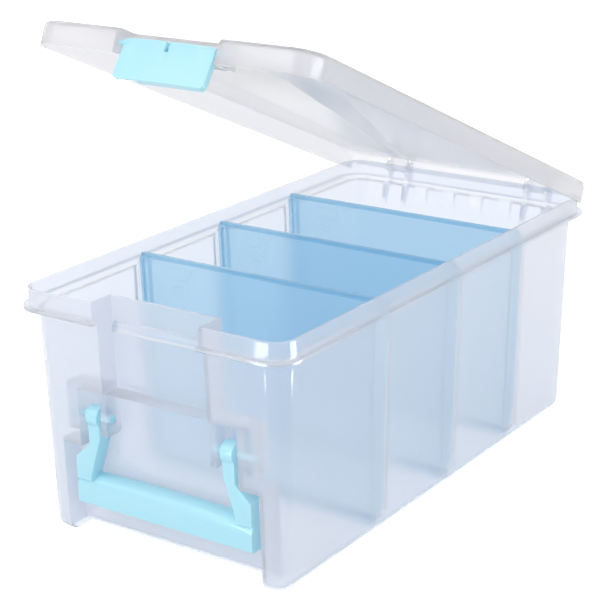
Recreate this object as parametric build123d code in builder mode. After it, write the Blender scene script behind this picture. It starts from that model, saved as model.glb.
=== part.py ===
from build123d import *
from math import cos, radians, sin, tan
import os

os.makedirs("parts", exist_ok=True)

# Craft storage box: a tall translucent tub with a hinged, latched lid, a drop handle
# in its front and three lift-out dividers. Millimetres, +Z up, front towards -Y,
# origin at the centre of the underside.

# Rim: the upright band, with a lip round its foot
rim_width = 200.0
rim_length = 382.0
rim_height = 164.0
rim_corner_radius = 14.5
rim_wall = 2.0
rim_edge_chamfer = 0.6
band_height = 15.0
lip_overhang = 3.5
lip_heel_overhang = 0.7
lip_slope_height = 1.5
lip_flat_height = 1.9
shelf_thickness = 2.2
shelf_corner_radius = 1.8

# Walls and floor of the tub, inside and below the band
wall_inset = 4.45
wall = 2.0
draft = 1.75
wall_overlap = 1.0
floor_thickness = 2.4
base_corner_radius = 10.0
base_edge_radius = 8.0
inner_edge_radius = 5.0

# Latch, drawn upright below the closed lid
latch_half_width = 33.3
latch_pivot_setback = 6.4
latch_pivot_drop = 8.1
latch_face_setback = 2.8
latch_bow = 1.4
latch_thickness = 2.2
latch_head = 2.5
latch_corner_radius = 3.0
latch_barrel_radius = 2.9
latch_pin_radius = 1.8
latch_pin_clearance = 0.06
latch_side_depth = 4.2
latch_notch_width = 3.2
latch_notch_depth = 6.5
hook_half_width = 24.0
hook_reach = 2.6
hook_gap = 0.6
hook_panel_gap = 3.9
hook_thickness = 1.8
hook_lip_thickness = 2.2
latch_skirt = 3.2
latch_tilt = 11.5

# Recess for the latch, in the front wall
latch_recess_gap = 7.0
latch_recess_depth = 14.0
catch_drop = 21.0
catch_inset = 4.3
catch_height = 6.0
catch_projection = 6.0
catch_lead_in = 2.0

# Handle
handle_pivot_z = 83.8
handle_pivot_setback = 7.558
handle_front_depth = 4.6
handle_back_depth = 6.6
grip_half_width = 68.2
grip_bottom = 22.4
grip_top = 41.6
grip_crown = 1.6
grip_nose_radius = 8.0
grip_edge_radius = 2.0
arm_width = 8.6
arm_gap = 3.2
arm_inner_bend = 70.0
arm_outer_bend = 65.0
arm_outer_foot = 54.5
knob_radius = 7.0
handle_pin_radius = 3.0
handle_pin_clearance = 0.06

# Recess for the handle, below the latch's
recess_back_gap = 0.94
recess_side_gap = 7.8
recess_arm_gap = 4.9
recess_shoulder_height = 63.5
recess_headroom = 19.2

# Ears and bosses that carry the handle's pins
ear_thickness = 4.5
ear_drop = 10.3
ear_setback = 1.6
ear_corner_radius = 5.0
boss_width = 10.0
boss_drop = 9.8
boss_wall = 4.9
boss_blind_wall = 1.2

# Guides for the dividers, pressed out of the two long walls
divider_middle_y = 11.5
divider_spacing = 87.3
guide_projection = 4.2
guide_face_half_width = 4.0
guide_side_width = 6.5
guide_foot_height = 8.0
guide_foot_slope = 5.0
slot_clearance = 0.35

# Dividers
divider_thickness = 2.0
divider_drop = 6.6
divider_floor_gap = 0.3
divider_bead_thickness = 3.2
divider_bead_height = 3.0
divider_corner_radius = 2.5
divider_foot_spread = 1.0
wing_gap = 2.5
wing_rise = 5.5
flange_width = 8.6
flange_thickness = 1.5
flange_gap = 0.5

# Hinge: lugs on the back of the tub, and the gussets between them
hinge_setback = 6.0
hinge_drop = 3.2
hinge_inner = 50.0
hinge_width = 20.0
lug_radius = 4.5
lug_thickness = 3.0
lug_rib_height = 19.0
hinge_pin_radius = 1.8
hinge_pin_clearance = 0.06
gusset_count = 4
gusset_spacing = 24.0
gusset_width = 11.0
gusset_height = 14.0

# Lid, drawn closed
lid_overhang = 3.6
lid_rise = 4.3
lid_wall = 2.0
lid_lip_gap = 0.5
lid_edge_radius = 4.0
lid_recess_side_gap = 4.0
lid_panel_gap = 2.7
lid_recess_wall = 1.8
lid_recess_edge_radius = 3.0
lid_relief_inset = 1.4
lid_relief_drop = 3.0
lid_lug_gap = 0.45
lid_barrel_radius = 4.0
lid_tongue_inset = 0.6
lid_open_angle = 23.9

# Levels
wall_slope = tan(radians(draft))
lip_bottom = rim_height - band_height
lip_top = lip_bottom + lip_slope_height + lip_flat_height
shelf_top = lip_bottom + shelf_thickness
wall_height = lip_bottom + wall_overlap
catch_bottom = rim_height - catch_drop
recess_top = handle_pivot_z + recess_headroom
ear_bottom = handle_pivot_z - ear_drop
boss_bottom = handle_pivot_z - boss_drop
divider_top = rim_height - divider_drop
gusset_bottom = lip_bottom - gusset_height
lug_foot = lip_bottom - lug_rib_height
lid_top = rim_height + lid_rise
lid_underside = lid_top - lid_wall
lid_skirt_bottom = lip_top + lid_lip_gap

# Plan sizes
beyond = 40.0
cut_overlap = 1.0
root_overlap = 0.3
base_width = rim_width - 2 * (wall_inset + lip_bottom * wall_slope)
base_length = rim_length - 2 * (wall_inset + lip_bottom * wall_slope)
lip_width = rim_width + 2 * lip_overhang
lip_length = rim_length + 2 * lip_overhang
lip_corner_radius = rim_corner_radius + lip_overhang
lid_width = rim_width + 2 * lid_overhang
lid_length = rim_length + 2 * lid_overhang
lid_corner_radius = rim_corner_radius + lid_overhang
lid_front = -lid_length / 2
lid_recess_half_width = latch_half_width + lid_recess_side_gap
latch_recess_half_width = latch_half_width + latch_recess_gap
catch_half_width = latch_recess_half_width - catch_inset
ear_inner = latch_recess_half_width
ear_outer = ear_inner + ear_thickness
arm_inner = ear_outer + arm_gap
arm_outer = arm_inner + arm_width
recess_upper_half_width = arm_outer + recess_arm_gap
recess_lower_half_width = grip_half_width + recess_side_gap
handle_recess_depth = handle_pivot_setback + knob_radius + recess_back_gap
boss_outer = recess_upper_half_width + boss_width
boss_depth = handle_pivot_setback + handle_pin_radius + boss_wall
handle_pin_end = boss_outer - boss_blind_wall - slot_clearance
slot_half_width = divider_thickness / 2 + slot_clearance
guide_slant = guide_side_width / guide_projection
guide_top = lip_bottom + wall_overlap
guide_slot_top = shelf_top + shelf_corner_radius + root_overlap
divider_positions = [divider_middle_y + step * divider_spacing for step in (-1, 0, 1)]
gusset_positions = [
    (step - (gusset_count - 1) / 2) * gusset_spacing for step in range(gusset_count)
]
hinge_outer = hinge_inner + hinge_width


def wall_x(z, depth):
    return base_width / 2 + z * wall_slope - depth


def wall_y(z, depth):
    return base_length / 2 + z * wall_slope - depth


# Axes of the joints
hinge_y = rim_length / 2 + hinge_setback
hinge_z = rim_height - hinge_drop
handle_pivot_y = -wall_y(handle_pivot_z, handle_pivot_setback)
latch_pivot_y = lid_front + latch_pivot_setback
latch_pivot_z = lid_top - latch_pivot_drop
hinge_axis = Axis((0, hinge_y, hinge_z), (1, 0, 0))
latch_axis = Axis((0, latch_pivot_y, latch_pivot_z), (1, 0, 0))

# Places that follow from the walls and axes
handle_front = handle_pivot_y - handle_front_depth
handle_back = handle_pivot_y + handle_back_depth
lid_recess_back = -wall_y(rim_height, latch_recess_depth) - lid_panel_gap - lid_recess_wall
latch_face_y = lid_front + latch_face_setback
latch_top = latch_pivot_z + latch_head
hook_bottom = catch_bottom - hook_reach
latch_bottom = hook_bottom - latch_skirt
hook_end_y = -wall_y(catch_bottom, latch_recess_depth) - hook_panel_gap
hook_lip_height = hook_reach - hook_gap
front_plane = Plane(
    origin=(0, -base_length / 2, 0),
    x_dir=(1, 0, 0),
    z_dir=(0, -cos(radians(draft)), -sin(radians(draft))),
)


def side_plane(side, y):
    return Plane(
        origin=(side * base_width / 2, y, 0),
        x_dir=(0, side, 0),
        z_dir=(side * cos(radians(draft)), 0, -sin(radians(draft))),
    )


def recess_outline(depth, floor, foot_radius, top):
    panel_foot = -wall_y(floor + foot_radius, depth)
    with BuildSketch(Plane.YZ) as outline:
        with BuildLine():
            Polyline(
                (panel_foot + foot_radius, -beyond),
                (panel_foot + foot_radius, floor),
            )
            ThreePointArc(
                (panel_foot + foot_radius, floor),
                (
                    panel_foot + foot_radius * (1 - cos(radians(45))),
                    floor + foot_radius * (1 - sin(radians(45))),
                ),
                (panel_foot, floor + foot_radius),
            )
            Polyline(
                (panel_foot, floor + foot_radius),
                (-wall_y(top, depth), top),
                (-wall_y(top, -beyond), top),
                (-wall_y(top, -beyond), -beyond),
                (panel_foot + foot_radius, -beyond),
            )
        make_face()
    return outline.sketch


def recess_block(spread, floor, foot_radius):
    depth = handle_recess_depth + spread
    lower = recess_outline(depth, floor, foot_radius, recess_shoulder_height + spread)
    upper = recess_outline(depth, floor, foot_radius, recess_top + spread)
    lower_block = extrude(lower, recess_lower_half_width + spread, both=True)
    upper_block = extrude(upper, recess_upper_half_width + spread, both=True)
    return lower_block + upper_block


def guide_points(half_width, foot, top):
    return [(-half_width, foot), (half_width, foot), (half_width, top), (-half_width, top)]


# Hollow inside of the tub, shaped round the recesses and the guides
with BuildPart() as hollow:
    with BuildSketch(Plane.XY.offset(floor_thickness)):
        inner_floor_width = base_width + 2 * floor_thickness * wall_slope - 2 * wall
        inner_floor_length = base_length + 2 * floor_thickness * wall_slope - 2 * wall
        RectangleRounded(inner_floor_width, inner_floor_length, base_corner_radius - wall)
    extrude(amount=rim_height - floor_thickness, taper=-draft)
    fillet(hollow.faces().sort_by(Axis.Z)[0].edges(), radius=inner_edge_radius)
    add(recess_block(wall, floor_thickness, inner_edge_radius), mode=Mode.SUBTRACT)
    with BuildSketch(front_plane.offset(-latch_recess_depth - wall)):
        with Locations((0, recess_top - wall)):
            Rectangle(
                2 * (latch_recess_half_width + wall),
                rim_height + beyond,
                align=(Align.CENTER, Align.MIN),
            )
    extrude(amount=latch_recess_depth + beyond, mode=Mode.SUBTRACT)
    for side in (1, -1):
        for y in divider_positions:
            guide_plane = side_plane(side, y)
            inside = slot_half_width + guide_slant * (guide_projection + cut_overlap)
            foot = guide_foot_height + wall
            with BuildSketch(guide_plane.offset(-wall - cut_overlap)):
                Polygon(*guide_points(inside, foot, guide_slot_top), align=None)
            with BuildSketch(guide_plane.offset(guide_projection - wall)):
                slot_foot = foot + guide_foot_slope
                Polygon(*guide_points(slot_half_width, slot_foot, guide_slot_top), align=None)
            loft()

with BuildPart() as rim_hollow:
    with BuildSketch(Plane.XY.offset(shelf_top)):
        RectangleRounded(
            rim_width - 2 * rim_wall,
            rim_length - 2 * rim_wall,
            rim_corner_radius - rim_wall,
        )
    extrude(amount=rim_height - shelf_top)
    fillet(rim_hollow.faces().sort_by(Axis.Z)[0].edges(), radius=shelf_corner_radius)
    with BuildSketch(Plane.XY.offset(rim_height - rim_edge_chamfer)):
        RectangleRounded(
            rim_width - 2 * rim_wall,
            rim_length - 2 * rim_wall,
            rim_corner_radius - rim_wall,
        )
    with BuildSketch(Plane.XY.offset(rim_height)):
        RectangleRounded(
            rim_width - 2 * rim_wall + 2 * rim_edge_chamfer,
            rim_length - 2 * rim_wall + 2 * rim_edge_chamfer,
            rim_corner_radius - rim_wall + rim_edge_chamfer,
        )
    loft()
    with BuildSketch(front_plane.offset(-latch_recess_depth - wall)):
        Rectangle(2 * (latch_recess_half_width + wall), 2 * (rim_height + beyond))
    extrude(amount=latch_recess_depth + beyond, mode=Mode.SUBTRACT)

with BuildPart() as tub:
    # Drafted walls, lip and upright band
    with BuildSketch(Plane.XY):
        RectangleRounded(base_width, base_length, base_corner_radius)
    extrude(amount=wall_height, taper=-draft)
    fillet(tub.faces().sort_by(Axis.Z)[0].edges(), radius=base_edge_radius)
    with BuildSketch(Plane.XY.offset(lip_bottom)):
        RectangleRounded(
            rim_width + 2 * lip_heel_overhang,
            rim_length + 2 * lip_heel_overhang,
            rim_corner_radius + lip_heel_overhang,
        )
    with BuildSketch(Plane.XY.offset(lip_bottom + lip_slope_height)):
        RectangleRounded(lip_width, lip_length, lip_corner_radius)
    loft()
    with BuildSketch(Plane.XY.offset(lip_bottom + lip_slope_height)):
        RectangleRounded(lip_width, lip_length, lip_corner_radius)
    extrude(amount=lip_top - lip_bottom - lip_slope_height)
    with BuildSketch(Plane.XY.offset(lip_bottom)):
        RectangleRounded(rim_width, rim_length, rim_corner_radius)
    extrude(amount=rim_height - lip_bottom)
    fillet(tub.faces().sort_by(Axis.Z)[-1].edges(), radius=rim_edge_chamfer)

    # Recesses in the front
    add(recess_block(0, 0, base_edge_radius), mode=Mode.SUBTRACT)
    with BuildSketch(front_plane.offset(-latch_recess_depth)):
        with Locations((0, recess_top)):
            Rectangle(
                2 * latch_recess_half_width,
                rim_height + beyond,
                align=(Align.CENTER, Align.MIN),
            )
    extrude(amount=latch_recess_depth + beyond, mode=Mode.SUBTRACT)

    # Guides pressed out of the long walls, from near the floor up to the lip
    for side in (1, -1):
        for y in divider_positions:
            guide_plane = side_plane(side, y)
            root = guide_face_half_width + guide_slant * (guide_projection + wall / 2)
            with BuildSketch(guide_plane.offset(-wall / 2)):
                Polygon(*guide_points(root, guide_foot_height, guide_top), align=None)
            with BuildSketch(guide_plane.offset(guide_projection)):
                face_foot = guide_foot_height + guide_foot_slope
                Polygon(*guide_points(guide_face_half_width, face_foot, guide_top), align=None)
            loft()

    # Hinge lugs, carried down the back wall as ribs, and the gussets under the lip
    for x in (hinge_inner, hinge_outer - lug_thickness, -hinge_inner - lug_thickness, -hinge_outer):
        with BuildSketch(Plane.YZ.offset(x)):
            with Locations((hinge_y, hinge_z)):
                Circle(lug_radius)
            Polygon(
                (rim_length / 2 - rim_wall / 2, hinge_z),
                (wall_y(lug_foot, wall / 2), lug_foot),
                (hinge_y, hinge_z),
                align=None,
            )
            make_hull()
        extrude(amount=lug_thickness)
    with BuildSketch(Plane.YZ):
        with Locations((hinge_y, hinge_z)):
            Circle(hinge_pin_radius + hinge_pin_clearance)
    extrude(amount=hinge_outer + cut_overlap, both=True, mode=Mode.SUBTRACT)
    for x in gusset_positions:
        with BuildSketch(Plane.YZ.offset(x - gusset_width / 2)):
            Polygon(
                (wall_y(gusset_bottom, wall / 2), gusset_bottom),
                (rim_length / 2, lip_bottom + root_overlap),
                (wall_y(lip_bottom, wall / 2), lip_bottom + root_overlap),
                align=None,
            )
        extrude(amount=gusset_width)

    # Hollow
    add(hollow.part, mode=Mode.SUBTRACT)
    add(rim_hollow.part, mode=Mode.SUBTRACT)

    # Catch on the latch recess's back panel
    panel_y = -wall_y(catch_bottom, latch_recess_depth)
    with BuildSketch(Plane.YZ.offset(-catch_half_width)):
        Polygon(
            (panel_y + wall / 2, catch_bottom),
            (panel_y - catch_projection, catch_bottom),
            (panel_y - catch_projection, catch_bottom + catch_height - catch_lead_in),
            (panel_y - catch_projection + catch_lead_in, catch_bottom + catch_height),
            (panel_y + wall / 2, catch_bottom + catch_height),
            align=None,
        )
    extrude(amount=2 * catch_half_width)

    # Ears between the two recesses, and bosses inside, for the handle's pins
    ear_back = -wall_y(handle_pivot_z, handle_recess_depth + wall / 2)
    ear_front = -wall_y(handle_pivot_z, ear_setback)
    for side in (1, -1):
        ear_start = side * (ear_inner + ear_outer) / 2 - ear_thickness / 2
        with BuildSketch(Plane.YZ.offset(ear_start)) as ear:
            with Locations(((ear_back + ear_front) / 2, ear_bottom)):
                Rectangle(
                    ear_back - ear_front,
                    recess_top + wall - ear_bottom,
                    align=(Align.CENTER, Align.MIN),
                )
            front_foot = ear.vertices().group_by(Axis.Z)[0].sort_by(Axis.Y)[0]
            fillet(front_foot, radius=ear_corner_radius)
        extrude(amount=ear_thickness)
        boss_start = side * (recess_upper_half_width + boss_outer) / 2 - boss_width / 2
        with BuildSketch(Plane.YZ.offset(boss_start)):
            with Locations((-wall_y(boss_bottom, wall / 2), boss_bottom)):
                Rectangle(
                    boss_depth,
                    recess_top + wall - boss_bottom,
                    align=(Align.MIN, Align.MIN),
                )
        extrude(amount=boss_width)
    with BuildSketch(Plane.YZ):
        with Locations((handle_pivot_y, handle_pivot_z)):
            Circle(handle_pin_radius + handle_pin_clearance)
    extrude(amount=boss_outer - boss_blind_wall, both=True, mode=Mode.SUBTRACT)

tub.part.label = "tub"
export_step(tub.part, "parts/tub.step")


foot_depth = wall + slot_clearance
divider_depth = foot_depth - guide_projection
wing_foot = guide_foot_height + wall + wing_gap
wing_full = wing_foot + wing_rise


def divider_points():
    right_side = [
        (wall_x(floor_thickness, foot_depth), floor_thickness + divider_floor_gap),
        (wall_x(wing_foot, foot_depth), wing_foot),
        (wall_x(wing_full, divider_depth), wing_full),
        (wall_x(divider_top, divider_depth), divider_top),
    ]
    left_side = [(-x, z) for x, z in reversed(right_side)]
    return right_side + left_side


flange_depth = wall + flange_gap
flange_foot = floor_thickness + inner_edge_radius
flange_top = divider_top - divider_bead_height

with BuildPart() as divider_front:
    y = divider_positions[0]
    with BuildSketch(Plane.XZ.offset(-y - divider_thickness / 2)) as web:
        Polygon(*divider_points(), align=None)
        web_corners = web.vertices().group_by(Axis.Z)
        fillet(web_corners[0], radius=inner_edge_radius + divider_foot_spread)
        fillet(web_corners[-1], radius=divider_corner_radius)
    extrude(amount=divider_thickness)
    with BuildSketch(Plane.XZ.offset(-y - divider_bead_thickness / 2)):
        with Locations((0, divider_top)):
            Rectangle(
                2 * (wall_x(divider_top, divider_depth) - divider_corner_radius),
                divider_bead_height,
                align=(Align.CENTER, Align.MAX),
            )
    extrude(amount=divider_bead_thickness)
    for side in (1, -1):
        with BuildSketch(Plane.XZ.offset(-y - flange_width / 2)):
            Polygon(
                (side * wall_x(flange_foot, flange_depth), flange_foot),
                (side * wall_x(flange_foot, flange_depth + flange_thickness), flange_foot),
                (side * wall_x(flange_top, flange_depth + flange_thickness), flange_top),
                (side * wall_x(flange_top, flange_depth), flange_top),
                align=None,
            )
        extrude(amount=flange_width)

divider_front.part.label = "divider_front"
export_step(divider_front.part, "parts/divider_front.step")

with BuildPart() as divider_middle:
    add(divider_front.part.moved(Location((0, divider_positions[1] - divider_positions[0], 0))))

divider_middle.part.label = "divider_middle"
export_step(divider_middle.part, "parts/divider_middle.step")

with BuildPart() as divider_back:
    add(divider_front.part.moved(Location((0, divider_positions[2] - divider_positions[0], 0))))

divider_back.part.label = "divider_back"
export_step(divider_back.part, "parts/divider_back.step")

# Lid, drawn closed
with BuildPart() as lid_hollow:
    with BuildSketch(Plane.XY.offset(lid_skirt_bottom - cut_overlap)):
        RectangleRounded(
            lid_width - 2 * lid_wall,
            lid_length - 2 * lid_wall,
            lid_corner_radius - lid_wall,
        )
    extrude(amount=lid_underside - lid_skirt_bottom + cut_overlap)
    fillet(lid_hollow.faces().sort_by(Axis.Z)[-1].edges(), radius=lid_edge_radius - lid_wall)
    with Locations((0, lid_front, lid_skirt_bottom)):
        Box(
            2 * (lid_recess_half_width + lid_recess_wall),
            2 * (lid_recess_back + lid_recess_wall - lid_front),
            beyond,
            mode=Mode.SUBTRACT,
        )

with BuildPart() as closed_lid:
    with BuildSketch(Plane.XY.offset(lid_skirt_bottom)):
        RectangleRounded(lid_width, lid_length, lid_corner_radius)
    extrude(amount=lid_top - lid_skirt_bottom)
    fillet(closed_lid.faces().sort_by(Axis.Z)[-1].edges(), radius=lid_edge_radius)
    with BuildSketch(Plane.XY.offset(lid_skirt_bottom)) as notch:
        with Locations((0, lid_recess_back)):
            Rectangle(
                2 * lid_recess_half_width,
                beyond,
                align=(Align.CENTER, Align.MAX),
            )
        fillet(notch.vertices().group_by(Axis.Y)[-1], radius=lid_recess_edge_radius)
    extrude(amount=beyond, mode=Mode.SUBTRACT)
    add(lid_hollow.part, mode=Mode.SUBTRACT)

    # Back skirt cut short where it swings past the rim, and away round the lugs
    with Locations((0, lid_length / 2, hinge_z - lid_relief_drop)):
        Box(
            rim_width - 2 * lid_relief_inset,
            beyond,
            beyond,
            align=(Align.CENTER, Align.CENTER, Align.MAX),
            mode=Mode.SUBTRACT,
        )
    for side in (1, -1):
        with Locations((side * (hinge_inner + hinge_outer) / 2, lid_length / 2, lid_underside)):
            Box(
                hinge_outer - hinge_inner + 2 * lid_lug_gap,
                2 * lid_edge_radius,
                beyond,
                align=(Align.CENTER, Align.CENTER, Align.MAX),
                mode=Mode.SUBTRACT,
            )

    # Hinge tongues with their barrels and pins
    tongue_width = hinge_outer - hinge_inner - 2 * lug_thickness - 2 * lid_lug_gap
    for side in (1, -1):
        middle = side * (hinge_inner + hinge_outer) / 2
        with BuildSketch(Plane.YZ.offset(middle - tongue_width / 2)):
            with Locations((hinge_y, hinge_z)):
                Circle(lid_barrel_radius)
            with Locations((lid_length / 2 - lid_edge_radius, lid_top)):
                Rectangle(
                    lid_edge_radius - lid_tongue_inset,
                    lid_wall,
                    align=(Align.MIN, Align.MAX),
                )
            make_hull()
        extrude(amount=tongue_width)
        pin_length = hinge_outer - hinge_inner - 2 * lid_lug_gap
        with BuildSketch(Plane.YZ.offset(middle - pin_length / 2)):
            with Locations((hinge_y, hinge_z)):
                Circle(hinge_pin_radius)
        extrude(amount=pin_length)

    # Holes for the latch's pins
    with BuildSketch(Plane.YZ):
        with Locations((latch_pivot_y, latch_pivot_z)):
            Circle(latch_pin_radius + latch_pin_clearance)
    extrude(
        amount=lid_recess_half_width + lid_recess_wall + cut_overlap,
        both=True,
        mode=Mode.SUBTRACT,
    )

with BuildPart() as lid:
    add(closed_lid.part.rotate(hinge_axis, -lid_open_angle))

lid.part.label = "lid"
export_step(lid.part, "parts/lid.step")

# Latch, drawn upright on the closed lid
with BuildPart() as upright_latch:
    with BuildSketch(Plane.XY.offset(latch_bottom)):
        with BuildLine():
            ThreePointArc(
                (-latch_half_width, latch_face_y + latch_bow),
                (0, latch_face_y),
                (latch_half_width, latch_face_y + latch_bow),
            )
            Line(
                (latch_half_width, latch_face_y + latch_bow),
                (latch_half_width, latch_face_y + latch_bow + latch_thickness),
            )
            ThreePointArc(
                (latch_half_width, latch_face_y + latch_bow + latch_thickness),
                (0, latch_face_y + latch_thickness),
                (-latch_half_width, latch_face_y + latch_bow + latch_thickness),
            )
            Line(
                (-latch_half_width, latch_face_y + latch_bow + latch_thickness),
                (-latch_half_width, latch_face_y + latch_bow),
            )
        make_face()
    extrude(amount=latch_top - latch_bottom)
    for side in (1, -1):
        side_x = side * (latch_half_width - latch_thickness / 2)
        with Locations((side_x, latch_face_y + latch_bow, latch_bottom)):
            Box(
                latch_thickness,
                latch_side_depth,
                latch_top - latch_bottom,
                align=(Align.CENTER, Align.MIN, Align.MIN),
            )
    with Locations((0, hook_end_y, hook_bottom)):
        Box(
            2 * hook_half_width,
            hook_end_y - latch_face_y - latch_bow - latch_thickness / 2,
            hook_thickness,
            align=(Align.CENTER, Align.MAX, Align.MIN),
        )
        Box(
            2 * hook_half_width,
            hook_lip_thickness,
            hook_lip_height,
            align=(Align.CENTER, Align.MAX, Align.MIN),
        )
    with BuildSketch(Plane.XZ) as plate:
        with Locations((0, latch_bottom)):
            Rectangle(
                2 * latch_half_width,
                latch_top - latch_bottom,
                align=(Align.CENTER, Align.MIN),
            )
        fillet(plate.vertices().group_by(Axis.Z)[0], radius=latch_corner_radius)
    extrude(amount=rim_length, mode=Mode.INTERSECT)
    with BuildSketch(Plane.YZ):
        with Locations((latch_pivot_y, latch_pivot_z)):
            Circle(latch_barrel_radius)
    extrude(amount=latch_half_width, both=True)
    with Locations((0, latch_face_y - cut_overlap, latch_top + cut_overlap)):
        Box(
            latch_notch_width,
            latch_thickness + 2 * cut_overlap,
            latch_notch_depth + cut_overlap,
            align=(Align.CENTER, Align.MIN, Align.MAX),
            mode=Mode.SUBTRACT,
        )
    with BuildSketch(Plane.YZ):
        with Locations((latch_pivot_y, latch_pivot_z)):
            Circle(latch_pin_radius)
    extrude(amount=lid_recess_half_width + lid_recess_wall, both=True)

with BuildPart() as latch:
    tilted_latch = upright_latch.part.rotate(latch_axis, -latch_tilt)
    add(tilted_latch.rotate(hinge_axis, -lid_open_angle))

latch.part.label = "latch"
export_step(latch.part, "parts/latch.step")

# Handle
with BuildPart() as handle:
    with BuildSketch(Plane.XZ.offset(-handle_back)):
        with BuildLine():
            Line((-grip_half_width, grip_bottom), (grip_half_width, grip_bottom))
            Line((grip_half_width, grip_bottom), (grip_half_width, grip_top))
            ThreePointArc(
                (grip_half_width, grip_top),
                (0, grip_top + grip_crown),
                (-grip_half_width, grip_top),
            )
            Line((-grip_half_width, grip_top), (-grip_half_width, grip_bottom))
        make_face()
    extrude(amount=handle_back - handle_front)
    long_edges = handle.edges().filter_by(lambda e: e.length > grip_half_width)
    upper_edges = long_edges.group_by(Axis.Z)[-1]
    fillet(upper_edges.sort_by(Axis.Y)[0], radius=grip_nose_radius)
    long_edges = handle.edges().filter_by(lambda e: e.length > grip_half_width)
    fillet(
        long_edges.filter_by_position(Axis.Z, 0, grip_bottom + grip_edge_radius),
        radius=grip_edge_radius,
    )
    for side in (1, -1):
        with BuildSketch(Plane.XZ.offset(-handle_back)):
            Polygon(
                (side * arm_inner, handle_pivot_z),
                (side * arm_outer, handle_pivot_z),
                (side * arm_outer, arm_outer_bend),
                (side * grip_half_width, arm_outer_foot),
                (side * grip_half_width, grip_top - grip_edge_radius),
                (side * arm_outer, grip_top - grip_edge_radius),
                (side * arm_outer, grip_top + grip_crown),
                (side * arm_inner, arm_inner_bend),
                align=None,
            )
        extrude(amount=handle_back - handle_front)
        with BuildSketch(Plane.YZ.offset(side * (arm_inner + arm_outer) / 2 - arm_width / 2)):
            with Locations((handle_pivot_y, handle_pivot_z)):
                Circle(knob_radius)
        extrude(amount=arm_width)
        inner_end = ear_inner + slot_clearance
        pin_start = side * (inner_end + handle_pin_end) / 2 - (handle_pin_end - inner_end) / 2
        with BuildSketch(Plane.YZ.offset(pin_start)):
            with Locations((handle_pivot_y, handle_pivot_z)):
                Circle(handle_pin_radius)
        extrude(amount=handle_pin_end - inner_end)

handle.part.label = "handle"
export_step(handle.part, "parts/handle.step")
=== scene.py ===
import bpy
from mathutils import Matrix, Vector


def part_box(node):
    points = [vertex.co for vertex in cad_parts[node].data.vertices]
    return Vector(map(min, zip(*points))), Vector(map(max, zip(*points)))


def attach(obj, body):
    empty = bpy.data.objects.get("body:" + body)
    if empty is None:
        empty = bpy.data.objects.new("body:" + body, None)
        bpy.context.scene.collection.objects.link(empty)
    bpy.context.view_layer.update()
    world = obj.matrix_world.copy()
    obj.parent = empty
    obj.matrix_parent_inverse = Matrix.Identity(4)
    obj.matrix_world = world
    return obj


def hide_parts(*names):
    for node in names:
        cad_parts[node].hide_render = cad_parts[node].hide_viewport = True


bl_info = {
    "name": "Craft storage box",
    "version": (1, 0, 0),
    "blender": (4, 5, 0),
    "location": "3D View > Sidebar > Storage Box",
    "description": "Finishes, soft edges, moulded marks and studio for a translucent storage box",
    "category": "Object",
}

from math import cos, radians, sin

import bpy
from bpy.props import FloatProperty, FloatVectorProperty, IntProperty, PointerProperty
from bpy.types import Operator, Panel, PropertyGroup
from mathutils import Matrix, Vector

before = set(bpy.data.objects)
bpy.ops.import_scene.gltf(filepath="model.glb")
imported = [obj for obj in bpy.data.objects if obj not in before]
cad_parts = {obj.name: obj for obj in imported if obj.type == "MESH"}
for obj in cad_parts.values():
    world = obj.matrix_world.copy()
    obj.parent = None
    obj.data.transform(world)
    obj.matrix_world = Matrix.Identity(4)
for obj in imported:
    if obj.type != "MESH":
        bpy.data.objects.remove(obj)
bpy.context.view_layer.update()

MM = 0.001
DIVIDERS = ("divider_front", "divider_middle", "divider_back")


class BoxColours(PropertyGroup):
    clear: FloatVectorProperty(
        name="Clear plastic",
        description="Tint of the frosted tub",
        subtype="COLOR",
        size=3,
        min=0.0,
        max=1.0,
        default=(0.845, 0.868, 0.92),
    )
    # Painted light: a paler tint on the slanted outer sides of the tub's guides, as if more light
    # falls on them
    lit_guide_tint: FloatVectorProperty(
        name="Painted light on guides",
        description="Paler tint of the tub's guides, where the moulding is thick",
        subtype="COLOR",
        size=3,
        min=0.0,
        max=1.0,
        default=(1.0, 1.0, 1.0),
    )
    lid: FloatVectorProperty(
        name="Lid plastic",
        description="Tint of the frosted lid",
        subtype="COLOR",
        size=3,
        min=0.0,
        max=1.0,
        default=(0.85, 0.845, 0.865),
    )
    aqua: FloatVectorProperty(
        name="Aqua plastic",
        description="Colour of the latch and the handle",
        subtype="COLOR",
        size=3,
        min=0.0,
        max=1.0,
        default=(0.44, 0.78, 0.90),
    )
    sky: FloatVectorProperty(
        name="Sky blue plastic",
        description="Tint of the dividers",
        subtype="COLOR",
        size=3,
        min=0.0,
        max=1.0,
        default=(0.59, 0.80, 0.93),
    )
    deep_sky: FloatVectorProperty(
        name="Thick sky blue plastic",
        description="Deeper tint of the dividers' thick top edge and end flanges",
        subtype="COLOR",
        size=3,
        min=0.0,
        max=1.0,
        default=(0.36, 0.63, 0.82),
    )
    floor: FloatVectorProperty(
        name="Floor",
        description="Colour of the studio floor",
        subtype="COLOR",
        size=3,
        min=0.0,
        max=1.0,
        default=(0.90, 0.90, 0.90),
    )


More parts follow.
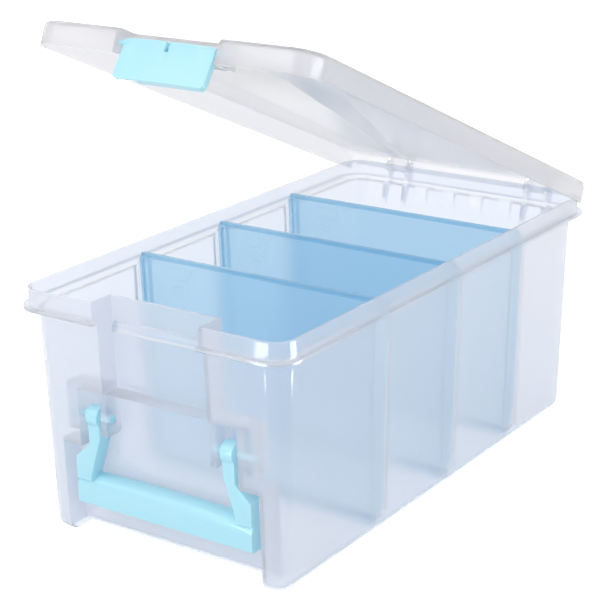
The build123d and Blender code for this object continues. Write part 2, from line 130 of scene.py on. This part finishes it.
class BoxSizes(PropertyGroup):
    tub_edge: FloatProperty(
        name="Tub edge",
        description="Radius of the tub's moulded edges",
        unit="LENGTH",
        default=0.4 * MM,
    )
    lid_edge: FloatProperty(
        name="Lid edge",
        description="Radius of the lid's moulded edges",
        unit="LENGTH",
        default=0.5 * MM,
    )
    handle_edge: FloatProperty(
        name="Handle edge",
        description="Radius of the handle's moulded edges",
        unit="LENGTH",
        default=1.3 * MM,
    )
    latch_edge: FloatProperty(
        name="Latch edge",
        description="Radius of the latch's moulded edges",
        unit="LENGTH",
        default=0.5 * MM,
    )
    divider_edge: FloatProperty(
        name="Divider edge",
        description="Radius of a divider's moulded edges",
        unit="LENGTH",
        default=0.35 * MM,
    )
    mark_height: FloatProperty(
        name="Mark height",
        description="How far the moulded bars on a divider stand out",
        unit="LENGTH",
        default=0.7 * MM,
    )
    edge_steps: IntProperty(
        name="Edge steps",
        description="Faces across each rounded edge",
        min=1,
        max=6,
        default=3,
    )


class BoxSettings(PropertyGroup):
    colours: PointerProperty(type=BoxColours)
    sizes: PointerProperty(type=BoxSizes)


def settings():
    return bpy.context.scene.storage_box


# Modelling helpers

MERGE_DISTANCE = 0.002 * MM
FLAT_ANGLE = radians(0.5)
SHARP_ANGLE = radians(32)
SMOOTH_ANGLE = radians(30)


def only(piece):
    """Select one piece and nothing else."""
    bpy.ops.object.select_all(action="DESELECT")
    piece.select_set(True)
    bpy.context.view_layer.objects.active = piece


def copy_of_node(node, name):
    """A piece that starts as the node's solid, with the triangles of flat faces joined."""
    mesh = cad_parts[node].data.copy()
    mesh.name = name
    piece = bpy.data.objects.new(name, mesh)
    bpy.context.scene.collection.objects.link(piece)
    only(piece)
    if mesh.has_custom_normals:
        bpy.ops.mesh.customdata_custom_splitnormals_clear()
    bpy.ops.object.mode_set(mode="EDIT")
    bpy.ops.mesh.select_all(action="SELECT")
    bpy.ops.mesh.remove_doubles(threshold=MERGE_DISTANCE)
    bpy.ops.mesh.dissolve_limited(angle_limit=FLAT_ANGLE)
    bpy.ops.object.mode_set(mode="OBJECT")
    return piece


def round_edges(piece, radius, steps):
    """The small radius that a mould leaves on every sharp edge."""
    only(piece)
    bevel = piece.modifiers.new("Rounded edges", "BEVEL")
    bevel.width = radius
    bevel.segments = steps
    bevel.limit_method = "ANGLE"
    bevel.angle_limit = SHARP_ANGLE
    bevel.use_clamp_overlap = True
    bevel.miter_outer = "MITER_ARC"
    bevel.harden_normals = False
    bpy.ops.object.modifier_apply(modifier=bevel.name)
    bpy.ops.object.shade_smooth_by_angle(angle=SMOOTH_ANGLE)


def middle_y(node):
    low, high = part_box(node)
    return (low[1] + high[1]) / 2


def finish_piece(piece, body, slot, material, *nodes):
    piece.data.materials.clear()
    piece.data.materials.append(material)
    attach(piece, body)
    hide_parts(*nodes)


# Materials

WHITE = (1, 1, 1, 1)
BLACK = (0, 0, 0, 1)
PLASTIC_IOR = 1.49
MILKY_IOR = 1.14
FROST = 0.31
TUB_CLARITY = 0.77
LID_CLARITY = 0.80
DIVIDER_CLARITY = 0.75
GLOSS = 0.8
GLOSS_ROUGHNESS = 0.08
LID_GLOSS_ROUGHNESS = 0.22
LIGHT_SHARE = 0.92
AQUA_ROUGHNESS = 0.32
AQUA_SUBSURFACE = 0.4
SUBSURFACE_SPREAD = (0.5, 1.0, 1.0)
SUBSURFACE_DEPTH = 3.0 * MM
DRIFT_DETAIL = 3.0
GRAIN_SCALE = 900.0
GRAIN_DETAIL = 2.0
GRAIN_DEPTH = 0.1 * MM
MOULD_NODE = "Moulding"
# Face attribute that carries the painted light on the guides' slanted sides
PAINTED_GUIDE_LIGHT = "guide_sides_painted_light"
THICK = "thick_plastic"


def new_group(name, inputs, outputs):
    group = bpy.data.node_groups.new(name, "ShaderNodeTree")
    for label, kind, value in inputs:
        socket = group.interface.new_socket(label, in_out="INPUT", socket_type=kind)
        socket.default_value = value
    for label, kind in outputs:
        group.interface.new_socket(label, in_out="OUTPUT", socket_type=kind)
    return group


def moulding_group():
    """Slow drift of tone, roughness and surface level that injection moulding leaves."""
    name = "Moulding variation"
    if name in bpy.data.node_groups:
        return bpy.data.node_groups[name]
    group = new_group(
        name,
        [
            ("Colour", "NodeSocketColor", WHITE),
            ("Roughness", "NodeSocketFloat", 0.2),
            ("Scale", "NodeSocketFloat", 12.0),
            ("Tone change", "NodeSocketFloat", 0.03),
            ("Roughness change", "NodeSocketFloat", 0.03),
            ("Surface change", "NodeSocketFloat", 0.05),
        ],
        [
            ("Colour", "NodeSocketColor"),
            ("Roughness", "NodeSocketFloat"),
            ("Normal", "NodeSocketVector"),
        ],
    )
    nodes, links = group.nodes, group.links
    given = nodes.new("NodeGroupInput")
    made = nodes.new("NodeGroupOutput")
    where = nodes.new("ShaderNodeTexCoord")
    flow = nodes.new("ShaderNodeTexNoise")
    flow.inputs["Detail"].default_value = DRIFT_DETAIL
    links.new(where.outputs["Object"], flow.inputs["Vector"])
    links.new(given.outputs["Scale"], flow.inputs["Scale"])
    drift = nodes.new("ShaderNodeMath")
    drift.operation = "SUBTRACT"
    drift.inputs[1].default_value = 0.5
    links.new(flow.outputs["Fac"], drift.inputs[0])
    tone = nodes.new("ShaderNodeMath")
    tone.operation = "MULTIPLY_ADD"
    tone.inputs[2].default_value = 1.0
    links.new(drift.outputs[0], tone.inputs[0])
    links.new(given.outputs["Tone change"], tone.inputs[1])
    tinted = nodes.new("ShaderNodeVectorMath")
    tinted.operation = "SCALE"
    links.new(given.outputs["Colour"], tinted.inputs[0])
    links.new(tone.outputs[0], tinted.inputs["Scale"])
    rough = nodes.new("ShaderNodeMath")
    rough.operation = "MULTIPLY_ADD"
    links.new(drift.outputs[0], rough.inputs[0])
    links.new(given.outputs["Roughness change"], rough.inputs[1])
    links.new(given.outputs["Roughness"], rough.inputs[2])
    grain = nodes.new("ShaderNodeTexNoise")
    grain.inputs["Scale"].default_value = GRAIN_SCALE
    grain.inputs["Detail"].default_value = GRAIN_DETAIL
    links.new(where.outputs["Object"], grain.inputs["Vector"])
    bump = nodes.new("ShaderNodeBump")
    bump.inputs["Distance"].default_value = GRAIN_DEPTH
    links.new(given.outputs["Surface change"], bump.inputs["Strength"])
    links.new(grain.outputs["Fac"], bump.inputs["Height"])
    links.new(tinted.outputs[0], made.inputs["Colour"])
    links.new(rough.outputs[0], made.inputs["Roughness"])
    links.new(bump.outputs["Normal"], made.inputs["Normal"])
    return group


def plastic(name, colour, roughness, clarity, gloss_roughness=GLOSS_ROUGHNESS, subsurface=0.0):
    """Moulded plastic: solid without clarity, else milky and see-through under a gloss."""
    material = bpy.data.materials.new(name)
    material.use_nodes = True
    nodes, links = material.node_tree.nodes, material.node_tree.links
    shader = nodes["Principled BSDF"]
    mould = nodes.new("ShaderNodeGroup")
    mould.name = MOULD_NODE
    mould.node_tree = moulding_group()
    mould.inputs["Colour"].default_value = (*colour, 1.0)
    mould.inputs["Roughness"].default_value = roughness
    links.new(mould.outputs["Colour"], shader.inputs["Base Color"])
    links.new(mould.outputs["Roughness"], shader.inputs["Roughness"])
    links.new(mould.outputs["Normal"], shader.inputs["Normal"])
    shader.inputs["IOR"].default_value = MILKY_IOR if clarity else PLASTIC_IOR
    shader.inputs["Transmission Weight"].default_value = clarity
    if clarity:
        shader.inputs["Coat Weight"].default_value = GLOSS
        shader.inputs["Coat Roughness"].default_value = gloss_roughness
        shader.inputs["Coat IOR"].default_value = PLASTIC_IOR
    shader.inputs["Subsurface Weight"].default_value = subsurface
    shader.inputs["Subsurface Radius"].default_value = SUBSURFACE_SPREAD
    shader.inputs["Subsurface Scale"].default_value = SUBSURFACE_DEPTH
    if clarity:
        let_light_through(material, shader, colour)
    return material


def any_of(links, nodes, *sockets):
    """The largest of several Light Path answers."""
    answer = sockets[0]
    for socket in sockets[1:]:
        either = nodes.new("ShaderNodeMath")
        either.operation = "MAXIMUM"
        links.new(answer, either.inputs[0])
        links.new(socket, either.inputs[1])
        answer = either.outputs[0]
    return answer


def let_light_through(material, shader, colour):
    """Lamp and bounce light passes a clear wall straight, as it does in a thin moulding."""
    nodes, links = material.node_tree.nodes, material.node_tree.links
    path = nodes.new("ShaderNodeLightPath")
    lighting = any_of(links, nodes, path.outputs["Is Shadow Ray"], path.outputs["Is Diffuse Ray"])
    share = nodes.new("ShaderNodeMath")
    share.operation = "MULTIPLY"
    share.inputs[1].default_value = LIGHT_SHARE
    links.new(lighting, share.inputs[0])
    half_tint = [0.5 + 0.5 * tone for tone in colour]
    gap = nodes.new("ShaderNodeBsdfTransparent")
    gap.inputs["Color"].default_value = (*half_tint, 1.0)
    mix = nodes.new("ShaderNodeMixShader")
    links.new(share.outputs[0], mix.inputs[0])
    links.new(shader.outputs[0], mix.inputs[1])
    links.new(gap.outputs[0], mix.inputs[2])
    links.new(mix.outputs[0], nodes["Material Output"].inputs["Surface"])


def tint_by_face(material, attribute, plain, other):
    """The tint goes from plain to other as the faces' attribute goes from 0 to 1."""
    nodes, links = material.node_tree.nodes, material.node_tree.links
    share = nodes.new("ShaderNodeAttribute")
    share.attribute_name = attribute
    tint = nodes.new("ShaderNodeMix")
    tint.data_type = "RGBA"
    tint.inputs["A"].default_value = (*plain, 1.0)
    tint.inputs["B"].default_value = (*other, 1.0)
    links.new(share.outputs["Fac"], tint.inputs["Factor"])
    links.new(tint.outputs["Result"], nodes[MOULD_NODE].inputs["Colour"])
    return material


def clear_plastic():
    colours = settings().colours
    material = plastic("Frosted clear plastic", colours.clear, FROST, TUB_CLARITY)
    # The guides' slanted sides are tinted paler: painted light
    return tint_by_face(material, PAINTED_GUIDE_LIGHT, colours.clear, colours.lit_guide_tint)


def lid_plastic():
    tint = settings().colours.lid
    return plastic("Frosted lid plastic", tint, FROST, LID_CLARITY, LID_GLOSS_ROUGHNESS)


def aqua_plastic():
    tint = settings().colours.aqua
    return plastic("Aqua plastic", tint, AQUA_ROUGHNESS, 0.0, subsurface=AQUA_SUBSURFACE)


def sky_plastic():
    colours = settings().colours
    material = plastic("Sky blue plastic", colours.sky, FROST, DIVIDER_CLARITY)
    return tint_by_face(material, THICK, colours.sky, colours.deep_sky)


made_materials = {}


def shared(maker):
    """The one material that a maker function makes, made when it is first asked for."""
    if maker not in made_materials:
        made_materials[maker] = maker()
    return made_materials[maker]


# Pieces

GUIDE_INNER_X = 88.0 * MM
GUIDE_REACH_Y = 13.0 * MM
GUIDE_TOP = 149.0 * MM
SLANT = 0.3


def mark_guides(piece):
    """Mark the slanted outer sides of the guides, which get a paler tint that is painted light.
    """
    middles = [middle_y(node) for node in DIVIDERS]
    painted_light = piece.data.attributes.new(PAINTED_GUIDE_LIGHT, "FLOAT", "FACE")
    for face in piece.data.polygons:
        place, facing = face.center, face.normal
        near_guide = min(abs(place.y - y) for y in middles) < GUIDE_REACH_Y
        outside = place.x * facing.x > 0 and abs(place.x) > GUIDE_INNER_X
        slanted = abs(facing.x) > SLANT and abs(facing.y) > SLANT
        # These faces get the painted light
        if near_guide and outside and slanted and place.z < GUIDE_TOP:
            painted_light.data[face.index].value = 1.0


class BOX_OT_tub(Operator):
    """Finish the tub: soft moulded edges and frosted clear plastic"""

    bl_idname = "storage_box.tub"
    bl_label = "Tub"

    def execute(self, context):
        sizes = settings().sizes
        piece = copy_of_node("tub", "frosted_tub")
        round_edges(piece, sizes.tub_edge, sizes.edge_steps)
        mark_guides(piece)
        finish_piece(piece, "tub", "clear_plastic", shared(clear_plastic), "tub")
        return {"FINISHED"}


class BOX_OT_lid(Operator):
    """Finish the lid: soft moulded edges and frosted clear plastic"""

    bl_idname = "storage_box.lid"
    bl_label = "Lid"

    def execute(self, context):
        sizes = settings().sizes
        piece = copy_of_node("lid", "frosted_lid")
        round_edges(piece, sizes.lid_edge, sizes.edge_steps)
        finish_piece(piece, "lid", "clear_plastic", shared(lid_plastic), "lid")
        return {"FINISHED"}


class BOX_OT_latch(Operator):
    """Finish the latch: soft moulded edges and aqua plastic"""

    bl_idname = "storage_box.latch"
    bl_label = "Latch"

    def execute(self, context):
        sizes = settings().sizes
        piece = copy_of_node("latch", "aqua_latch")
        round_edges(piece, sizes.latch_edge, sizes.edge_steps)
        finish_piece(piece, "latch", "aqua_plastic", shared(aqua_plastic), "latch")
        return {"FINISHED"}


class BOX_OT_handle(Operator):
    """Finish the handle: soft moulded edges and aqua plastic"""

    bl_idname = "storage_box.handle"
    bl_label = "Handle"

    def execute(self, context):
        sizes = settings().sizes
        piece = copy_of_node("handle", "aqua_handle")
        round_edges(piece, sizes.handle_edge, sizes.edge_steps)
        finish_piece(piece, "handle", "aqua_plastic", shared(aqua_plastic), "handle")
        return {"FINISHED"}


# Plain bars moulded near each divider's upper left corner: from its left end and top
# edge to the bar's nearest corner, then the bar's width and height
DIVIDER_MARKS = (
    (25.5 * MM, 6.5 * MM, 18.0 * MM, 5.0 * MM),
    (26.0 * MM, 14.5 * MM, 14.0 * MM, 1.3 * MM),
    (29.0 * MM, 19.5 * MM, 11.0 * MM, 1.3 * MM),
    (30.0 * MM, 24.0 * MM, 7.0 * MM, 1.3 * MM),
)
WEB_THICKNESS = 2.0 * MM
MARK_ROOT = 0.5 * MM
BEAD_HEIGHT = 3.0 * MM
BEAD_MARGIN = 0.1 * MM
FLANGE_PROUD = 1.0 * MM
FLANGE_TINT = 0.3


def add_marks(piece, node):
    """Join the plain bars to the front face of a divider."""
    low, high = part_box(node)
    face_y = middle_y(node) - WEB_THICKNESS / 2
    height = settings().sizes.mark_height
    bars = []
    for from_left, from_top, width, tall in DIVIDER_MARKS:
        bpy.ops.object.select_all(action="DESELECT")
        bpy.ops.mesh.primitive_cube_add(
            size=1,
            location=(
                low[0] + from_left + width / 2,
                face_y + (MARK_ROOT - height) / 2,
                high[2] - from_top - tall / 2,
            ),
            scale=(width, MARK_ROOT + height, tall),
        )
        bar = bpy.context.active_object
        bpy.ops.object.transform_apply(location=True, rotation=True, scale=True)
        bars.append(bar)
    only(bars[0])
    for bar in bars:
        bar.select_set(True)
    bpy.ops.object.join()
    only(piece)
    union = piece.modifiers.new("Marks", "BOOLEAN")
    union.operation = "UNION"
    union.solver = "EXACT"
    union.object = bars[0]
    bpy.ops.object.modifier_apply(modifier=union.name)
    bpy.data.objects.remove(bars[0])
    only(piece)
    bpy.ops.object.shade_smooth_by_angle(angle=SMOOTH_ANGLE)


def mark_thick_faces(piece, node):
    """Mark the bead along the top edge, and less strongly the flanges near the ends."""
    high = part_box(node)[1]
    middle = middle_y(node)
    bead_foot = high[2] - BEAD_HEIGHT - BEAD_MARGIN
    thick = piece.data.attributes.new(THICK, "FLOAT", "FACE")
    for face in piece.data.polygons:
        if face.center.z > bead_foot:
            thick.data[face.index].value = 1.0
        elif abs(face.center.y - middle) > WEB_THICKNESS / 2 + FLANGE_PROUD:
            thick.data[face.index].value = FLANGE_TINT


class BOX_OT_dividers(Operator):
    """Finish the three dividers: soft moulded edges, marks and sky blue plastic"""

    bl_idname = "storage_box.dividers"
    bl_label = "Dividers"

    def execute(self, context):
        sizes = settings().sizes
        for node in DIVIDERS:
            piece = copy_of_node(node, "blue_" + node)
            round_edges(piece, sizes.divider_edge, sizes.edge_steps)
            add_marks(piece, node)
            mark_thick_faces(piece, node)
            finish_piece(piece, node, "blue_plastic", shared(sky_plastic), node)
        return {"FINISHED"}


# Studio

CAMERA_AZIMUTH = radians(34.80)
CAMERA_ELEVATION = radians(18.58)
CAMERA_ROLL = radians(-0.88)
CAMERA_SIDE = 18.38 * MM
CAMERA_DROP = -113.52 * MM
CAMERA_DISTANCE = 1241.03 * MM
CAMERA_LENS = 106.09
SENSOR_WIDTH = 36.0

FLOOR_SIZE = 12.0
FLOOR_ROUGHNESS = 0.9
FLOOR_GLOW = 0.45
WORLD_LEVEL = 0.85
LIGHT_BOUNCES = 24

# Lamps and reflected strips: name, place, what they face, width, height, and then watts
# for a lamp or strength for a strip
RIM_CORNER = (0.086, -0.177, 0.158)
LID_CORNER = (0.099, -0.156, 0.314)
SOFTBOXES = (
    ("Key softbox", (-0.9, -1.5, 1.5), (0, 0, 0.12), 1.4, 1.2, 10.5),
    ("Fill softbox", (1.5, -0.9, 0.9), (0, 0, 0.10), 1.2, 1.2, 3.0),
)
STRIPS = (
    ("Front strip", (0.0305, -0.3687, 0.085), RIM_CORNER, 0.12, 0.08, 12.0),
    ("Side strip", (0.2668, -0.092, 0.085), RIM_CORNER, 0.12, 0.08, 12.0),
    ("Lid strip", (0.689, -0.2065, 0.419), LID_CORNER, 0.44, 0.25, 9.0),
)


def add_camera():
    """The camera of the photograph, placed by its angles and distance from the origin."""
    back = Vector((
        sin(CAMERA_AZIMUTH) * cos(CAMERA_ELEVATION),
        -cos(CAMERA_AZIMUTH) * cos(CAMERA_ELEVATION),
        sin(CAMERA_ELEVATION),
    ))
    level_right = Vector((cos(CAMERA_AZIMUTH), sin(CAMERA_AZIMUTH), 0))
    level_up = back.cross(level_right)
    right = level_right * cos(CAMERA_ROLL) + level_up * sin(CAMERA_ROLL)
    up = level_up * cos(CAMERA_ROLL) - level_right * sin(CAMERA_ROLL)
    place = -CAMERA_SIDE * right - CAMERA_DROP * up + CAMERA_DISTANCE * back
    data = bpy.data.cameras.new("Photo camera")
    data.sensor_width = SENSOR_WIDTH
    data.lens = CAMERA_LENS
    camera = bpy.data.objects.new("Photo camera", data)
    turned = Matrix((right, up, back)).transposed().to_4x4()
    camera.matrix_world = Matrix.Translation(place) @ turned
    bpy.context.scene.collection.objects.link(camera)
    bpy.context.scene.camera = camera


def add_softbox(name, place, target, width, height, power):
    data = bpy.data.lights.new(name, "AREA")
    data.shape = "RECTANGLE"
    data.size = width
    data.size_y = height
    data.energy = power
    lamp = bpy.data.objects.new(name, data)
    aim = Vector(target) - Vector(place)
    lamp.location = place
    lamp.rotation_euler = aim.to_track_quat("-Z", "Y").to_euler()
    bpy.context.scene.collection.objects.link(lamp)


def glowing(name, strength):
    """A white glow that only rays bouncing off a glossy surface find."""
    material = bpy.data.materials.new(name)
    material.use_nodes = True
    shader = material.node_tree.nodes["Principled BSDF"]
    shader.inputs["Base Color"].default_value = BLACK
    shader.inputs["Specular IOR Level"].default_value = 0.0
    shader.inputs["Emission Color"].default_value = WHITE
    shader.inputs["Emission Strength"].default_value = strength
    material.cycles.emission_sampling = "NONE"
    return material


def add_reflection(name, place, target, width, height, strength):
    """A strip that only shows as a highlight on glossy edges."""
    aim = Vector(target) - Vector(place)
    bpy.ops.object.select_all(action="DESELECT")
    bpy.ops.mesh.primitive_plane_add(
        size=1.0,
        location=place,
        rotation=aim.to_track_quat("Z", "Y").to_euler(),
    )
    strip = bpy.context.active_object
    strip.name = name
    strip.scale = (width, height, 1.0)
    strip.data.materials.append(glowing(name, strength))
    strip.visible_camera = False
    strip.visible_diffuse = False
    strip.visible_transmission = False
    strip.visible_volume_scatter = False
    strip.visible_shadow = False


def seeing_ray(nodes, links):
    """1 for a ray that shows the studio to the camera, straight, reflected or refracted."""
    path = nodes.new("ShaderNodeLightPath")
    kinds = ("Is Camera Ray", "Is Glossy Ray", "Is Transmission Ray")
    return any_of(links, nodes, *[path.outputs[kind] for kind in kinds])


def white_floor(colour, glow):
    """A pale floor that shows white around the object and keeps a faint shadow."""
    material = bpy.data.materials.new("Studio floor")
    material.use_nodes = True
    nodes, links = material.node_tree.nodes, material.node_tree.links
    shader = nodes["Principled BSDF"]
    shader.inputs["Base Color"].default_value = (*colour, 1.0)
    shader.inputs["Roughness"].default_value = FLOOR_ROUGHNESS
    shader.inputs["Specular IOR Level"].default_value = 0.0
    shader.inputs["Emission Color"].default_value = WHITE
    strength = nodes.new("ShaderNodeMath")
    strength.operation = "MULTIPLY"
    strength.inputs[1].default_value = glow
    links.new(seeing_ray(nodes, links), strength.inputs[0])
    links.new(strength.outputs[0], shader.inputs["Emission Strength"])
    return material


def white_world(level):
    """A world that is seen white and lights the object at its own level."""
    world = bpy.data.worlds.new("White studio")
    world.use_nodes = True
    bpy.context.scene.world = world
    nodes, links = world.node_tree.nodes, world.node_tree.links
    out = nodes["World Output"]
    lit = nodes["Background"]
    lit.inputs["Color"].default_value = WHITE
    lit.inputs["Strength"].default_value = level
    seen = nodes.new("ShaderNodeBackground")
    seen.inputs["Color"].default_value = WHITE
    seen.inputs["Strength"].default_value = 1.0
    seeing = seeing_ray(nodes, links)
    mix = nodes.new("ShaderNodeMixShader")
    links.new(seeing, mix.inputs[0])
    links.new(lit.outputs[0], mix.inputs[1])
    links.new(seen.outputs[0], mix.inputs[2])
    links.new(mix.outputs[0], out.inputs["Surface"])


class BOX_OT_stage(Operator):
    """Set up the white studio: floor, lamps, world and camera"""

    bl_idname = "storage_box.stage"
    bl_label = "Studio"

    def execute(self, context):
        scene = context.scene
        bpy.ops.object.select_all(action="DESELECT")
        bpy.ops.mesh.primitive_plane_add(size=FLOOR_SIZE, location=(0, 0, 0))
        floor = context.active_object
        floor.name = "studio_floor"
        floor.data.materials.append(white_floor(settings().colours.floor, FLOOR_GLOW))
        white_world(WORLD_LEVEL)
        for lamp in SOFTBOXES:
            add_softbox(*lamp)
        for strip in STRIPS:
            add_reflection(*strip)
        add_camera()
        scene.view_settings.view_transform = "Standard"
        scene.cycles.max_bounces = LIGHT_BOUNCES
        scene.cycles.transmission_bounces = LIGHT_BOUNCES
        scene.cycles.transparent_max_bounces = LIGHT_BOUNCES
        return {"FINISHED"}


class BOX_PT_panel(Panel):
    """Steps that finish the storage box"""

    bl_idname = "BOX_PT_panel"
    bl_label = "Storage Box"
    bl_space_type = "VIEW_3D"
    bl_region_type = "UI"
    bl_category = "Storage Box"

    def draw(self, context):
        for group in (settings().colours, settings().sizes):
            for name in group.__annotations__:
                self.layout.prop(group, name)
        for step in STEPS:
            self.layout.operator(step.bl_idname)


STEPS = (BOX_OT_tub, BOX_OT_lid, BOX_OT_latch, BOX_OT_handle, BOX_OT_dividers, BOX_OT_stage)
CLASSES = (BoxColours, BoxSizes, BoxSettings, *STEPS, BOX_PT_panel)


def register():
    for made in CLASSES:
        bpy.utils.register_class(made)
    bpy.types.Scene.storage_box = PointerProperty(type=BoxSettings)


def unregister():
    del bpy.types.Scene.storage_box
    for made in reversed(CLASSES):
        bpy.utils.unregister_class(made)


def main():
    register()
    bpy.ops.storage_box.tub()
    bpy.ops.storage_box.lid()
    bpy.ops.storage_box.latch()
    bpy.ops.storage_box.handle()
    bpy.ops.storage_box.dividers()
    bpy.ops.storage_box.stage()


if __name__ == "__main__":
    main()
